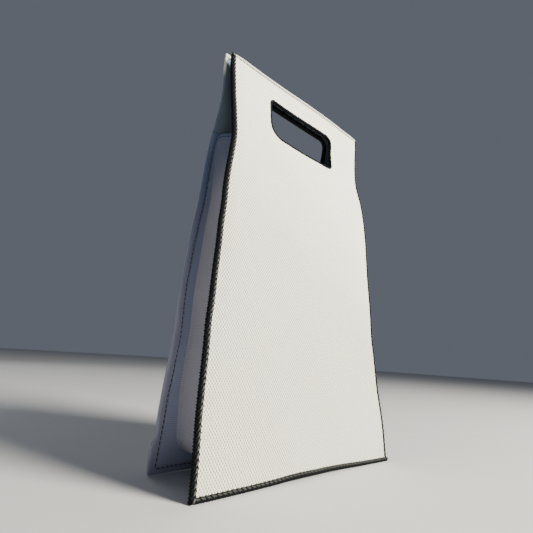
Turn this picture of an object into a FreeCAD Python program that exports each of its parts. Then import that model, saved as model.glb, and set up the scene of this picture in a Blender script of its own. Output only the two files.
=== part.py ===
import FreeCAD, Part
import os
import math

os.makedirs("parts", exist_ok=True)
V = FreeCAD.Vector

# Soft tote bag for lithium battery packs, in millimetres.
# Origin: bottom centre. +Z up, front faces -Y, +X to the right.

# ---- driving dimensions --------------------------------------------------
WIDTH_BOTTOM = 180.0        # panel width at the bottom edge
WIDTH_TOP = 151.0           # panel width at the top edge
HEIGHT = 298.0              # bottom edge to top fold
Z_KINK = 223.0              # where both cloths start to lean together
Z_FOLD = 241.0              # fold line just above the gusset, where panel ends and flap begins
Z_BEND = 259.0              # softer bend at the middle of the hand hole

Y_FRONT = (27.12, 13.3, 10.8, 8.3, 3.6)   # outer half depths, front: bottom, kink, fold, bend, top
Y_BACK = (27.5, 14.9, 10.35, 5.8, 3.6)    # the same for the back

T_CLOTH = 0.9               # coated outer cloth
T_LINING = 0.5              # inner cloth
T_FLANGE = 0.6              # turned edge of the gusset strip
GUSSET_INSET = 10.0         # panel edge to gusset wall
GUSSET_T = 1.2              # gusset wall, cloth and lining together
GUSSET_BOTTOM = 9.5         # gusset floor above the panels' bottom edges
GUSSET_R = 18.0             # rounded bottom corners of the gusset
GUSSET_TOP = 236.5
HEM_H = 5.0
HEM_T = 0.8

OVERLOCK_BAND = 3.4         # width of the overlock seam on each face
OVERLOCK_T = 0.5
SEAM_INSET = 4.2            # lockstitch row to the panel edge
THREAD = 0.5

WAIST = 5.0                 # each side edge draws in by this much at the kink
WAIST_Z = 231.0
WAIST_SIGMA = 22.0

HOLE_Z = 261.5
HOLE_W = 75.0
HOLE_H = 32.4
HOLE_R = 7.0
EDGING_T = 0.9

STRIP_W = 112.0             # hook-and-loop closure between the flaps
STRIP_H = 9.0
STRIP_Z = 290.0
STRIP_T = 2.0
STRIP_GAP = 0.3

CLEAR = 0.35                # gusset wall to the front lining

nodes = {}


# ---- outlines ------------------------------------------------------------
def half_width(z, waist):
    w = 0.5 * (WIDTH_BOTTOM + (WIDTH_TOP - WIDTH_BOTTOM) * z / HEIGHT)
    if waist:
        w -= WAIST * math.exp(-0.5 * ((z - WAIST_Z) / WAIST_SIGMA) ** 2)
    return w


Z_STEPS = [0, 60, 120, 160, 185, 200, 212, Z_KINK, 232, Z_FOLD, 250, 268, 282, HEIGHT]


def outline_prism(inset, waist, bottom=0.0, top=HEIGHT, grow=0.0):
    """Prism along Y with the panel's outline in XZ, inset on the sides."""
    zs = [bottom] + [z for z in Z_STEPS if bottom < z < top] + [top]
    right = [(half_width(max(0.0, min(HEIGHT, z)), waist) - inset + grow, z) for z in zs]
    left = [(-x, z) for x, z in reversed(right)]
    pts = [V(x, -80, z) for x, z in right + left]
    return Part.Face(Part.makePolygon(pts + [pts[0]])).extrude(V(0, 160, 0))


def profile_prism(pts):
    """Prism along X from a closed (y, z) polygon."""
    p = [V(-150, y, z) for y, z in pts]
    return Part.Face(Part.makePolygon(p + [p[0]])).extrude(V(300, 0, 0))


def offset_line(pts, d):
    """Offset an open (y, z) line by d to its right-hand side going up."""
    out = []
    n = len(pts)
    for i in range(n):
        dirs = []
        if i > 0:
            dirs.append((pts[i][0] - pts[i - 1][0], pts[i][1] - pts[i - 1][1]))
        if i < n - 1:
            dirs.append((pts[i + 1][0] - pts[i][0], pts[i + 1][1] - pts[i][1]))
        nrm = []
        for dy, dz in dirs:
            l = math.hypot(dy, dz)
            nrm.append((dz / l, -dy / l))
        ny = sum(a for a, b in nrm) / len(nrm)
        nz = sum(b for a, b in nrm) / len(nrm)
        k = ny * ny + nz * nz
        out.append((pts[i][0] + d * ny / k, pts[i][1] + d * nz / k))
    return out


Z_LEVELS = (0.0, Z_KINK, Z_FOLD, Z_BEND, HEIGHT)
FOLD = 2
FRONT_LINE = [(-y, z) for y, z in zip(Y_FRONT, Z_LEVELS)]
BACK_LINE = [(y, z) for y, z in zip(Y_BACK, Z_LEVELS)]


def layer(side, a, b):
    """Sheet between the depths a and b under the outer face, full height."""
    line, s = (FRONT_LINE, 1.0) if side == "front" else (BACK_LINE, -1.0)
    l0 = [(line[0][0] - 0.2 * (line[1][0] - line[0][0]), -0.2 * Z_KINK)] + line[1:-1]
    l0 = l0 + [(line[-1][0] + 0.2 * (line[-1][0] - line[-2][0]), line[-1][1] + 0.2 * (HEIGHT - Z_BEND))]
    p = offset_line(l0, s * a)
    q = offset_line(l0, s * b)
    return profile_prism(p + q[::-1])


def slab(z0, z1):
    return Part.makeBox(400, 400, z1 - z0, V(-200, -200, z0))


def kink_cut(side, below, back_off=0.0):
    """Half space below or above the fold line, cut square to the outer face's bisector."""
    line, s = (FRONT_LINE, 1.0) if side == "front" else (BACK_LINE, -1.0)
    y, z = line[FOLD]
    inner = offset_line(line, s * 10.0)[FOLD]
    dy, dz = inner[0] - y, inner[1] - z
    a = (y - 6 * dy, z - 6 * dz)
    b = (y + 6 * dy, z + 6 * dz)
    sh = -back_off if below else back_off
    a = (a[0], a[1] + sh)
    b = (b[0], b[1] + sh)
    far = -400 if below else 700
    return profile_prism([a, b, (b[0], far), (a[0], far)])


def rounded_rect_prism(w, h, r, zc, y0=-80, y1=80):
    x, z = w / 2.0, h / 2.0
    e = []
    c = [(x - r, z - r, 0), (-x + r, z - r, 90), (-x + r, -z + r, 180), (x - r, -z + r, 270)]
    pts = []
    for cx, cz, a0 in c:
        for k in range(7):
            a = math.radians(a0 + 15 * k)
            pts.append(V(cx + r * math.cos(a), y0, zc + cz + r * math.sin(a)))
    return Part.Face(Part.makePolygon(pts + [pts[0]])).extrude(V(0, y1 - y0, 0))


def u_prism(inset, bottom, r, top):
    """Prism along Y with the gusset's U outline: straight tapering legs, rounded bottom corners."""
    n = 9
    slope = 0.5 * (WIDTH_BOTTOM - WIDTH_TOP) / HEIGHT
    ang = math.atan(slope)

    def edge_x(z):
        return half_width(z, False) - inset

    # centre of the corner arc, r from the leg and r above the floor
    cz = bottom + r
    cx = edge_x(cz) - r / math.cos(ang)
    pts = [(edge_x(top), top)]
    a0, a1 = ang, -math.pi / 2
    for k in range(n):
        a = a0 + (a1 - a0) * k / (n - 1)
        pts.append((cx + r * math.cos(a), cz + r * math.sin(a)))
    pts = pts + [(-x, z) for x, z in reversed(pts)]
    p = [V(x, -80, z) for x, z in pts]
    return Part.Face(Part.makePolygon(p + [p[0]])).extrude(V(0, 160, 0))


def keep(name, shape):
    shape = shape.removeSplitter()
    sols = [s for s in shape.Solids if s.Volume > 0.05]
    out = sols[0] if len(sols) == 1 else Part.makeCompound(sols)
    nodes[name] = out
    return out


# ---- front cloth: panel below the fold, flap with the hand hole above ------
hole_cut = rounded_rect_prism(HOLE_W + 2 * EDGING_T, HOLE_H + 2 * EDGING_T, HOLE_R + EDGING_T, HOLE_Z)
hole_clear = rounded_rect_prism(HOLE_W, HOLE_H, HOLE_R, HOLE_Z)

d1 = T_CLOTH
d2 = T_CLOTH + T_LINING
d3 = d2 + T_FLANGE

front_body = outline_prism(OVERLOCK_T, True, bottom=OVERLOCK_T)
front_cloth = layer("front", 0, d1).common(front_body)
front_lin = layer("front", d1, d2).common(front_body)

keep("front_panel", front_cloth.common(kink_cut("front", True)))
keep("front_lining", front_lin.common(kink_cut("front", True)))
keep("front_flap", front_cloth.common(kink_cut("front", False)).cut(hole_cut))
keep("front_facing", front_lin.common(kink_cut("front", False)).cut(hole_cut))

# turned edge of the gusset strip, lying on the inside of the front panel's margin
gusset_outer = u_prism(GUSSET_INSET, GUSSET_BOTTOM, GUSSET_R, 400)
gusset_inner = u_prism(GUSSET_INSET + GUSSET_T, GUSSET_BOTTOM + GUSSET_T, GUSSET_R - GUSSET_T, 400)
flange_front = layer("front", d2, d3).common(front_body).cut(gusset_inner).common(slab(-10, GUSSET_TOP))
keep("gusset_front_flange", flange_front)

# overlock seam over the front panel's left, bottom and right edges
t = OVERLOCK_T
wrap_low = layer("front", -t, d3 + t).common(outline_prism(0, True))
core_low = layer("front", 0, d3).common(front_body)
inner_cut = outline_prism(OVERLOCK_BAND, True, bottom=OVERLOCK_BAND, top=400)
overlock = wrap_low.cut(core_low).cut(inner_cut)
keep("front_edge_overlock", overlock.common(slab(-10, GUSSET_TOP)).common(kink_cut("front", True, 1.2)))

wrap_up = layer("front", -t, d2 + t).common(outline_prism(0, True))
core_up = layer("front", 0, d2).common(front_body)
up_cut = outline_prism(OVERLOCK_BAND, True, bottom=-50, top=400)
keep("front_flap_overlock", wrap_up.cut(core_up).cut(up_cut)
     .common(kink_cut("front", False, 1.2)).common(slab(0, HEIGHT)))

# top stitching just under the top fold
keep("front_top_stitching", layer("front", -0.35, 0).common(slab(HEIGHT - 3.2, HEIGHT - 2.6))
     .common(outline_prism(6.0, True)))

# bound edge of the hand hole
keep("front_handle_edging", layer("front", -0.3, d2 + 0.2).common(hole_cut).cut(hole_clear))

# ---- back cloth ------------------------------------------------------------
back_body = outline_prism(0.0, False)
back_cloth = layer("back", 0, d1).common(back_body)
back_lin = layer("back", d1, d2).common(back_body)
keep("back_panel", back_cloth.common(kink_cut("back", True)))
keep("back_lining", back_lin.common(kink_cut("back", True)))
keep("back_flap", back_cloth.common(kink_cut("back", False)).cut(hole_cut))
keep("back_facing", back_lin.common(kink_cut("back", False)).cut(hole_cut))
flange_back = layer("back", d2, d3).common(outline_prism(0.6, False, bottom=0.6)).cut(gusset_inner)
keep("gusset_back_flange", flange_back.common(slab(-10, GUSSET_TOP)))
keep("back_handle_edging", layer("back", -0.3, d2 + 0.2).common(hole_cut).cut(hole_clear))


def seam_row(side, a, b, inset, z0, z1, bottom):
    ring = outline_prism(inset, False, bottom=inset if bottom else -50, top=400)
    core = outline_prism(inset + THREAD, False, bottom=inset + THREAD if bottom else -60, top=410)
    return layer(side, a, b).common(ring).cut(core).common(slab(z0, z1))


# black lockstitch row round the back margin, seen on both faces
row_out = seam_row("back", -0.35, 0, SEAM_INSET, 0, Z_FOLD - 1.5, True)
row_in = seam_row("back", d3, d3 + 0.35, SEAM_INSET, 0, GUSSET_TOP, True)
keep("back_seam_stitching", Part.makeCompound([row_out, row_in]))
keep("back_flap_stitching", seam_row("back", -0.35, 0, SEAM_INSET, Z_FOLD + 1.5, HEIGHT - 3.0, False))
keep("back_top_stitching", layer("back", -0.35, 0).common(slab(HEIGHT - 3.2, HEIGHT - 2.6))
     .common(outline_prism(8.0, False)))

# ---- gusset strip: left side, floor and right side in one piece --------------
front_seg = offset_line(FRONT_LINE[:3], d3 + CLEAR)
back_seg = offset_line(BACK_LINE[:3], -d3)
wedge = profile_prism(front_seg + back_seg[::-1])
u_wall = gusset_outer.cut(gusset_inner)
keep("gusset", u_wall.common(wedge).common(slab(0, GUSSET_TOP)))

# folded hems along the open tops of the gusset's two sides
hem_band = u_prism(GUSSET_INSET - HEM_T, GUSSET_BOTTOM - HEM_T, GUSSET_R, 400).cut(gusset_outer)
hem_zone = hem_band.common(wedge).common(slab(GUSSET_TOP - HEM_H, GUSSET_TOP))
hem_zone = hem_zone.cut(layer("back", -1, d3)).cut(layer("front", -1, d3 + CLEAR))
keep("gusset_hem_left", hem_zone.common(Part.makeBox(200, 400, 600, V(-200, -200, -10))))
keep("gusset_hem_right", hem_zone.common(Part.makeBox(200, 400, 600, V(0, -200, -10))))
thr = u_prism(GUSSET_INSET - HEM_T - 0.35, 4, GUSSET_R, 400).cut(
    u_prism(GUSSET_INSET - HEM_T, GUSSET_BOTTOM - HEM_T, GUSSET_R, 400))
zt = GUSSET_TOP - HEM_H + 1.2
keep("gusset_hem_stitching", thr.common(wedge).common(slab(zt, zt + THREAD)))

# ---- hook-and-loop closure between the flaps, above the hand hole -----------
zs0, zs1 = STRIP_Z - STRIP_H / 2, STRIP_Z + STRIP_H / 2
zone = Part.makeBox(STRIP_W, 400, STRIP_H, V(-STRIP_W / 2, -200, zs0))


front_half = profile_prism([(-40, 0), (-STRIP_GAP / 2, 0), (-STRIP_GAP / 2, 400), (-40, 400)])
back_half = profile_prism([(40, 0), (STRIP_GAP / 2, 0), (STRIP_GAP / 2, 400), (40, 400)])
keep("hook_strip", zone.common(front_half).common(layer("front", d2, d2 + STRIP_T)))
keep("loop_strip", zone.common(back_half).common(layer("back", d2, d2 + STRIP_T)))


def strip_rows(side):
    """Two long rows that sew a closure strip down, seen on the flap's outer face."""
    a = layer(side, -0.35, 0)
    rows = []
    for z in (zs0 + 1.2, zs1 - 1.7):
        rows.append(a.common(Part.makeBox(STRIP_W - 3, 400, THREAD, V(-(STRIP_W - 3) / 2, -200, z))))
    return Part.makeCompound(rows)


keep("hook_strip_stitching", strip_rows("front"))
keep("loop_strip_stitching", strip_rows("back"))

# ---- write one STEP per node -------------------------------------------------
for name, shape in nodes.items():
    shape.exportStep("parts/%s.step" % name)
    b = shape.BoundBox
    print("%-24s solids %2d  vol %9.1f  x %.1f %.1f  y %.2f %.2f  z %.2f %.2f" % (
        name, len(shape.Solids), shape.Volume, b.XMin, b.XMax, b.YMin, b.YMax, b.ZMin, b.ZMax))
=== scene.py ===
import math

import bmesh
import bpy
import numpy as np
from mathutils import Matrix, Vector


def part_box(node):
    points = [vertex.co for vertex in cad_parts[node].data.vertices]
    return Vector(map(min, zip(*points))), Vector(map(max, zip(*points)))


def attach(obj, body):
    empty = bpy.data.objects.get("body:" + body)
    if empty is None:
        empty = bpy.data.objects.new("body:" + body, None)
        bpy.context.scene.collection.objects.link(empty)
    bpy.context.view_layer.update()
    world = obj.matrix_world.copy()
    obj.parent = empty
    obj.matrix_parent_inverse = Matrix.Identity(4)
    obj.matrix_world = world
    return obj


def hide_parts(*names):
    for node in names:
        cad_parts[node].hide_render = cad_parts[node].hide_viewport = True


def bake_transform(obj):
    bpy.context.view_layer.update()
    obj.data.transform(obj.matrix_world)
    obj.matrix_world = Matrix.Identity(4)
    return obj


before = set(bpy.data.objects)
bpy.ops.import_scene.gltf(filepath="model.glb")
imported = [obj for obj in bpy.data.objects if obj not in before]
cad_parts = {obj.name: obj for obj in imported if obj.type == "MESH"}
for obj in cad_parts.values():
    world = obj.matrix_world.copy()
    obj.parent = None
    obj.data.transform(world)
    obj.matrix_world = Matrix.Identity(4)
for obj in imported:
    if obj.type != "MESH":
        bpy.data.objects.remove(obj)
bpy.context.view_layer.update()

rng = np.random.default_rng(7)
scene = bpy.context.scene
MM = 0.001

# ------------------------------------------------------------------ sizes (mm)
lo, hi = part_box("back_panel")
HB = (hi.x - lo.x) / MM / 2.0                  # half width at the bottom edge
lo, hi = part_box("front_flap")
H = hi.z / MM                                   # top fold
lo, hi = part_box("front_panel")
ZK = hi.z / MM                                  # fold line above the gusset
HT = 75.5                                       # half width at the top edge
WAIST, WAIST_Z, WAIST_S = 5.0, 231.0, 22.0
HOLE_Z, HOLE_W, HOLE_H = 262.2, 73.4, 33.6
HOLE_R = {(1, 1): 6.5, (-1, 1): 3.6, (-1, -1): 11.0, (1, -1): 5.5}   # corners: right top, left top, left bottom, right bottom
HOLE_X = -0.6
T_OUT, T_LIN, T_FLG = 0.9, 0.5, 0.6
D_LIN = T_OUT + T_LIN
D_ALL = T_OUT + T_LIN + T_FLG
G_T = 1.0                                       # gusset cloth and lining together
G_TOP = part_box("gusset")[1].z / MM
BAND = 2.6                                      # overlock band on the face
PITCH = 3.42                                    # overlock stitch


def smooth(a, b, v):
    t = np.clip((np.asarray(v, float) - a) / (b - a), 0, 1)
    return t * t * (3 - 2 * t)


def table(z, rows, blur=5.0):
    r = np.array(sorted(rows), float)
    zz = np.asarray(z, float)
    return sum(np.interp(zz + o * blur, r[:, 0], r[:, 1]) * 0.2 for o in (-1, -0.5, 0, 0.5, 1))


def area_under(y, x):
    return float(np.sum(0.5 * (y[1:] + y[:-1]) * np.diff(x)))


def hw_back(z):
    return HB + (HT - HB) * np.asarray(z, float) / H


def hw_front(z):
    z = np.asarray(z, float)
    return hw_back(z) - WAIST * np.exp(-0.5 * ((z - WAIST_Z) / WAIST_S) ** 2)


def smooth_line(zs, ys, sigma):
    t = np.arange(-60.0, 361.0, 0.5)
    z0, z1, y0, y1 = zs[0], zs[1], ys[0], ys[1]
    y = np.interp(t, zs, ys)
    y = np.where(t < zs[0], ys[0] + (ys[1] - ys[0]) / (zs[1] - zs[0]) * (t - zs[0]), y)
    y = np.where(t > zs[-1], ys[-1] + (ys[-1] - ys[-2]) / (zs[-1] - zs[-2]) * (t - zs[-1]), y)
    k = np.exp(-0.5 * (np.arange(-40, 41) * 0.5 / sigma) ** 2)
    k /= k.sum()
    pad = np.pad(y, 40, mode="reflect", reflect_type="odd")
    return t, np.convolve(pad, k, "valid")


TF, YF = smooth_line([0, 223, 259, 298], [27.12, 13.3, 8.3, 3.6], 6.0)
TB, YB = smooth_line([0, 223, 259, 298], [27.5, 14.9, 5.8, 3.6], 5.0)

# how far the sewn edges stray from the straight cut, sideways, in mm
LEFT_EDGE = [(300, 0.0), (291, -0.15), (272, 1.0), (254, 0.5), (238, -1.0), (220, -0.4), (203, 0.5), (187, 0.9), (172, 1.6),
             (158, 0.8), (145, 1.0), (131, 0.6), (106, 0.4), (94, -0.5), (81, -0.35), (60, -0.75), (39, -0.8), (20, -0.1), (0, 0.2)]
RIGHT_EDGE = [(300, 4.6), (292, 4.2), (275, 0.3), (257, -1.3), (240, -1.1), (224, 3.2), (209, 3.9), (195, 2.9), (180, 2.0),
              (165, 1.2), (151, 0.5), (137, 0.5), (123, 0.6), (109, 0.2), (97, -0.4), (84, 0.6), (71, 0.6), (58, 0.5), (46, 1.3),
              (34, 2.0), (22, 1.7), (10, 0.7), (0, 0.5)]
BACK_EDGE = [(300, 0.0), (230, 0.2), (200, 0.4), (183, 0.7), (167, -0.2), (152, -0.6), (137, -0.7), (124, -1.0), (108, -0.5),
             (93, 0.6), (78, 0.5), (65, 0.35), (48, 0.1), (30, 0.2), (0, 0.2)]
BACK_STEP = [(300, 0.0), (34, 0.0), (23, 1.0), (20.5, 0.4), (17.5, -1.5), (9, -1.0), (0, 0.2)]
TOP_EDGE = [(-80, 0.9), (-69, 0.8), (-60, 0.3), (-45, 0.5), (-35, 0.9), (-26, 1.4), (-17, 1.5), (-8, 1.9), (3, 2.0), (13, 2.1),
            (24, 2.4), (36, 2.7), (47, 2.6), (59, 1.8), (73, 1.9), (80, 1.9)]
BOTTOM_EDGE = [(-92, -0.95), (-83, -0.95), (-64, -0.8), (-54, -0.9), (-44, -0.6), (-32, -0.4), (-20, 0.3), (-7, 0.4), (7, 0.2),
               (22, 0.3), (37, 0.0), (54, -0.6), (72, -0.9), (92, -0.9)]
# where the gusset meets the back cloth, measured in from that cloth's edge
GUSSET_SEAM = [(240, 6.2), (234.7, 6.3), (217, 8.2), (202, 9.2), (187, 9.8), (170, 10.2), (150, 10.7), (127, 11.2), (110, 11.4),
               (90, 12.0), (65, 12.4), (48, 13.0), (30, 14.9), (22, 15.8)]


def front_y(x, z):
    s = x / hw_front(z)
    y = -np.interp(z, TF, YF)
    y -= 1.5 * (1 - s * s) * np.exp(-(((z - 95) / 62) ** 2))
    y += 0.45 * np.sin(x / 21.0 + 0.6 + z / 90.0) * np.sin(z / 27.0 + 0.5) * smooth(230, 190, z)
    y += 0.30 * np.sin(x / 11.5 - z / 38.0 + 2.0) * np.sin(z / 17.0 + x / 60.0)
    y += 0.9 * smooth(0.86, 1.0, np.abs(s)) * smooth(8, 60, z)
    y += 2.6 * np.exp(-((x / 50.0) ** 2)) * np.exp(-(((z - 264) / 20.0) ** 2))
    y -= 0.7 * smooth(0.8, 1.0, np.abs(s)) * np.exp(-(((z - 231) / 16.0) ** 2))
    y -= 2.0 * smooth(0.3, 1.0, s) * smooth(60, 0, z)
    return y


def back_y(x, z):
    s = x / hw_back(z)
    y = np.interp(z, TB, YB)
    y += 1.6 * (1 - s * s) * np.exp(-(((z - 100) / 62) ** 2))
    y += 0.45 * np.sin(x / 23.0 + 2.1 - z / 80.0) * np.sin(z / 25.0 + 1.5) * smooth(230, 190, z)
    y += 0.28 * np.sin(x / 12.5 + z / 41.0) * np.sin(z / 19.0 - x / 70.0)
    y -= 2.0 * np.exp(-((x / 50.0) ** 2)) * np.exp(-(((z - 264) / 20.0) ** 2))
    y += 2.2 * smooth(266, 293, z) * smooth(-0.5, -1.0, s)
    y += 0.28 * np.sin((z + 0.55 * np.abs(x)) / 1.15) * smooth(0.90, 0.95, np.abs(s)) * np.exp(-(((z - 205) / 17.0) ** 2))
    y += 0.8 * smooth(0.8, 1.0, np.abs(s)) * smooth(24, 10, z) * np.sin(x / 9.0)
    return y


def hole_pull(x, z):
    """The hole is cut a little off square: its right end leans out towards the top."""
    px, pz = x - HOLE_X, z - HOLE_Z
    far = np.hypot(np.maximum(np.abs(px) - HOLE_W / 2, 0), np.maximum(np.abs(pz) - HOLE_H / 2, 0))
    k = smooth(-12, HOLE_W / 2, px) * smooth(26, 0, far)
    v = np.clip(pz / (HOLE_H / 2), -1, 1)
    return k * (0.9 + 1.5 * v), k * 0.8 * smooth(0, 1, v)


def on_cloth(side, x, z, d):
    """Point on the front or back cloth: x across, z up, d deep from the outer face, all in mm."""
    x, z, d = np.broadcast_arrays(np.asarray(x, float), np.asarray(z, float), np.asarray(d, float))
    f = front_y if side == "front" else back_y
    w = hw_front(z) if side == "front" else hw_back(z)
    s = x / w
    y = f(x, z)
    e = 0.6
    gx = (f(x + e, z) - f(x - e, z)) / (2 * e)
    gz = (f(x, z + e) - f(x, z - e)) / (2 * e)
    k = 1.0 / np.sqrt(1 + gx * gx + gz * gz)
    sign = 1.0 if side == "front" else -1.0
    if side == "front":
        dx = table(z, LEFT_EDGE) * smooth(-0.1, -1.0, s) + table(z, RIGHT_EDGE) * smooth(0.1, 1.0, s)
        dz = table(x, TOP_EDGE) * smooth(272, 298, z) + table(x, BOTTOM_EDGE) * smooth(45, 0, z)
    else:
        dx = table(z, BACK_EDGE, 2.0) * (smooth(-0.1, -1.0, s) - smooth(0.1, 1.0, s))
        dx += table(z, BACK_STEP, 1.5) * (smooth(-0.955, -0.99, s) - smooth(0.955, 0.99, s))
        dz = (0.6 * table(x, TOP_EDGE) + 4.4 * smooth(-0.55, -1.0, s)) * smooth(268, 298, z) - 0.6 * smooth(30, 0, z)
        dx = dx - 1.4 * smooth(266, 293, z) * smooth(-0.5, -1.0, s)
    hx, hz = hole_pull(x, z)
    dx, dz = dx + hx, dz + hz
    return np.stack([x + dx - sign * gx * k * d, y + sign * k * d, z + dz - sign * gz * k * d], -1)


# ------------------------------------------------------------------ mesh tools
def new_object(name, verts, faces, smooth_shade=True, sharp=None):
    me = bpy.data.meshes.new(name)
    me.from_pydata([tuple(v) for v in (np.asarray(verts, float) * MM)], [], faces)
    me.validate()
    o = bpy.data.objects.new(name, me)
    scene.collection.objects.link(o)
    if smooth_shade:
        me.polygons.foreach_set("use_smooth", [True] * len(me.polygons))
        if sharp:
            me.set_sharp_from_angle(angle=math.radians(sharp))
    me.update()
    return o


def fix_normals(o):
    bm = bmesh.new()
    bm.from_mesh(o.data)
    bmesh.ops.recalc_face_normals(bm, faces=bm.faces)
    bm.to_mesh(o.data)
    bm.free()
    o.data.update()


def put_uv(o, uv):
    """uv is one (u, v) per vertex, in metres along the cloth."""
    layer = o.data.uv_layers.new(name="cloth")
    idx = np.zeros(len(o.data.loops), np.int32)
    o.data.loops.foreach_get("vertex_index", idx)
    layer.data.foreach_set("uv", np.asarray(uv, float)[idx].ravel())


def shell(name, grid_uv, outer, inner, keep=None, sharp=40):
    """Closed sheet of cloth between two grids of points, with its cut edges closed."""
    ny, nx = outer.shape[:2]
    if keep is None:
        keep = np.ones((ny - 1, nx - 1), bool)
    n = ny * nx
    verts = np.concatenate([outer.reshape(-1, 3), inner.reshape(-1, 3)])
    faces, seen = [], {}
    for i in range(ny - 1):
        for j in range(nx - 1):
            if keep[i, j]:
                a, b, c, d = i * nx + j, i * nx + j + 1, (i + 1) * nx + j + 1, (i + 1) * nx + j
                faces.append((a, b, c, d))
                faces.append((n + d, n + c, n + b, n + a))
                for e in ((a, b), (b, c), (c, d), (d, a)):
                    seen[e] = True
    for (a, b) in list(seen):
        if (b, a) not in seen:
            faces.append((b, a, n + a, n + b))
    used = np.unique(np.array([v for f in faces for v in f]))
    remap = -np.ones(2 * n, int)
    remap[used] = np.arange(len(used))
    o = new_object(name, verts[used], [tuple(int(remap[v]) for v in f) for f in faces], True, sharp)
    uv = np.concatenate([grid_uv.reshape(-1, 2), grid_uv.reshape(-1, 2)])[used] * MM
    put_uv(o, uv)
    fix_normals(o)
    return o


class Tubes:
    """Many thread pieces gathered into one mesh."""

    def __init__(self):
        self.v, self.f, self.n = [], [], 0

    def tube(self, pts, radius, sides=6, flat=None):
        pts = np.asarray(pts, float)
        m = len(pts)
        rad = np.broadcast_to(np.asarray(radius, float), (m,))
        tan = np.gradient(pts, axis=0)
        tan /= np.linalg.norm(tan, axis=1)[:, None] + 1e-12
        ref = np.array([0.0, 1.0, 0.0]) if abs(tan[0][1]) < 0.8 else np.array([1.0, 0.0, 0.0])
        u = np.cross(tan[0], ref)
        u /= np.linalg.norm(u)
        rings = []
        for i in range(m):
            u = u - tan[i] * (u @ tan[i])
            u /= np.linalg.norm(u) + 1e-12
            w = np.cross(tan[i], u)
            a = np.arange(sides) * 2 * np.pi / sides
            rings.append(pts[i] + rad[i] * (np.cos(a)[:, None] * u + np.sin(a)[:, None] * w))
        b = self.n
        self.v.append(np.concatenate(rings + [pts[:1], pts[-1:]]))
        for i in range(m - 1):
            for k in range(sides):
                k2 = (k + 1) % sides
                self.f.append((b + i * sides + k, b + i * sides + k2, b + (i + 1) * sides + k2, b + (i + 1) * sides + k))
        c0, c1 = b + m * sides, b + m * sides + 1
        for k in range(sides):
            k2 = (k + 1) % sides
            self.f.append((c0, b + k2, b + k))
            self.f.append((c1, b + (m - 1) * sides + k, b + (m - 1) * sides + k2))
        self.n += m * sides + 2

    def make(self, name):
        o = new_object(name, np.concatenate(self.v), self.f, True)
        fix_normals(o)
        return o


def curve_pts(pts, n):
    """Smooth points through a few control points."""
    pts = np.asarray(pts, float)
    t = np.linspace(0, len(pts) - 1, n)
    i = np.clip(t.astype(int), 0, len(pts) - 2)
    f = (t - i)[:, None]
    p = np.concatenate([2 * pts[:1] - pts[1:2], pts, 2 * pts[-1:] - pts[-2:-1]])
    a, b, c, d = p[i], p[i + 1], p[i + 2], p[i + 3]
    return 0.5 * (2 * b + (c - a) * f + (2 * a - 5 * b + 4 * c - d) * f ** 2 + (3 * b - 3 * c + d - a) * f ** 3)


# ------------------------------------------------------------------ materials
def principled(name):
    m = bpy.data.materials.new(name)
    m.use_nodes = True
    nt = m.node_tree
    return m, nt, nt.nodes["Principled BSDF"]


def node(nt, kind, **sets):
    n = nt.nodes.new(kind)
    for k, v in sets.items():
        setattr(n, k, v)
    return n


def math_node(nt, op, a, b=None):
    n = nt.nodes.new("ShaderNodeMath")
    n.operation = op
    for i, v in enumerate((a, b)):
        if v is None:
            continue
        if isinstance(v, (int, float)):
            n.inputs[i].default_value = v
        else:
            nt.links.new(v, n.inputs[i])
    return n.outputs[0]


def mix_color(nt, fac, a, b, blend="MIX"):
    n = nt.nodes.new("ShaderNodeMix")
    n.data_type = "RGBA"
    n.blend_type = blend
    for sock, v in ((n.inputs[0], fac), (n.inputs[6], a), (n.inputs[7], b)):
        if isinstance(v, (int, float)):
            sock.default_value = v
        elif isinstance(v, tuple):
            sock.default_value = (*v, 1.0)
        else:
            nt.links.new(v, sock)
    return n.outputs[2]


def noise(nt, vec, scale, detail=3.0, rough=0.55):
    n = node(nt, "ShaderNodeTexNoise")
    n.inputs["Scale"].default_value = scale
    n.inputs["Detail"].default_value = detail
    n.inputs["Roughness"].default_value = rough
    nt.links.new(vec, n.inputs["Vector"])
    return n.outputs["Fac"]


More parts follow.
